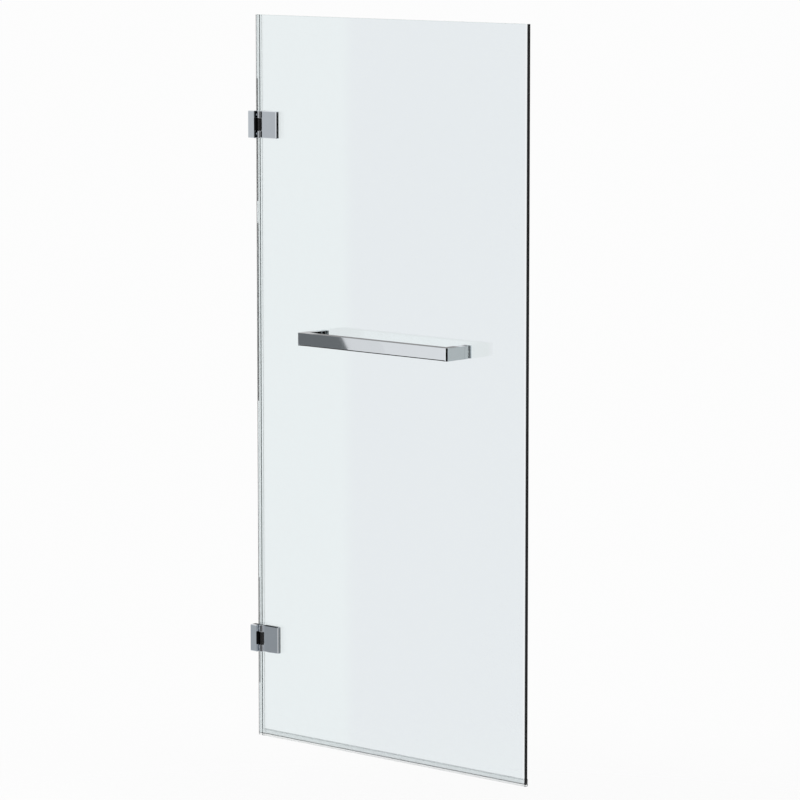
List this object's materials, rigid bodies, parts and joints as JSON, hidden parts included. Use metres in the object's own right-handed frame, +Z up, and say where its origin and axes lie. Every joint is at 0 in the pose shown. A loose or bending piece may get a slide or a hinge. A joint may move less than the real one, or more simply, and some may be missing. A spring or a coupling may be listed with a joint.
{
  "type": "pivot tub door",
  "caption": "Out-swing tub door of clear glass on wall hinges with a black knuckle, with a square chrome towel bar and clear seals on its hinge side and bottom edge.",
  "frame": {"origin": "on the lower hinge's wall face, level with the hinge's middle and in line with its pin", "axes": "+X from the wall along the closed door, +Y to its back over the tub, +Z up"},
  "size_m": [0.7378, 0.078, 1.5],
  "materials": {
    "clear_glass": "clear, with dark green edges",
    "clear_plastic": "clear, flexible",
    "chrome_hinge": "polished",
    "chrome_bar": "polished",
    "black_knuckle": "satin black",
    "steel_screws": "stainless",
    "steel_pin": "ground",
    "white_plastic": "natural nylon",
    "black_plastic": "natural black acetal",
    "gasket_rubber": "matte"
  },
  "bodies": {
    "wall_side": {"lower_wall_bracket": "chrome_hinge", "lower_knuckle": "black_knuckle", "lower_knuckle_screws": "steel_screws", "lower_hinge_pin": "steel_pin", "upper_wall_bracket": "chrome_hinge", "upper_knuckle": "black_knuckle", "upper_knuckle_screws": "steel_screws", "upper_hinge_pin": "steel_pin"},
    "door": {"glass_panel": "clear_glass", "hinge_seal": "clear_plastic", "bottom_seal": "clear_plastic", "lower_bushes": "black_plastic", "lower_pin_caps": "chrome_hinge", "lower_front_plate": "chrome_hinge", "lower_front_gasket": "gasket_rubber", "lower_glass_sleeves": "white_plastic", "lower_back_gasket": "gasket_rubber", "lower_back_plate": "chrome_hinge", "lower_clamp_screws": "steel_screws", "upper_bushes": "black_plastic", "upper_pin_caps": "chrome_hinge", "upper_front_plate": "chrome_hinge", "upper_front_gasket": "gasket_rubber", "upper_glass_sleeves": "white_plastic", "upper_back_gasket": "gasket_rubber", "upper_back_plate": "chrome_hinge", "upper_clamp_screws": "steel_screws", "towel_bar": "chrome_bar", "bar_bases": "chrome_bar", "bar_set_screws": "steel_screws", "bar_front_washers": "clear_plastic", "bar_sleeves": "white_plastic", "bar_back_washers": "clear_plastic", "bar_back_plates": "chrome_bar", "bar_bolts": "steel_screws"}
  },
  "joints": [
    {"name": "door_swing", "type": "hinge", "parent": "wall_side", "child": "door", "pos_m": [0.0225, 0, 0], "axis": [0, 0, 1], "range_deg": [-75, 0]}
  ]
}
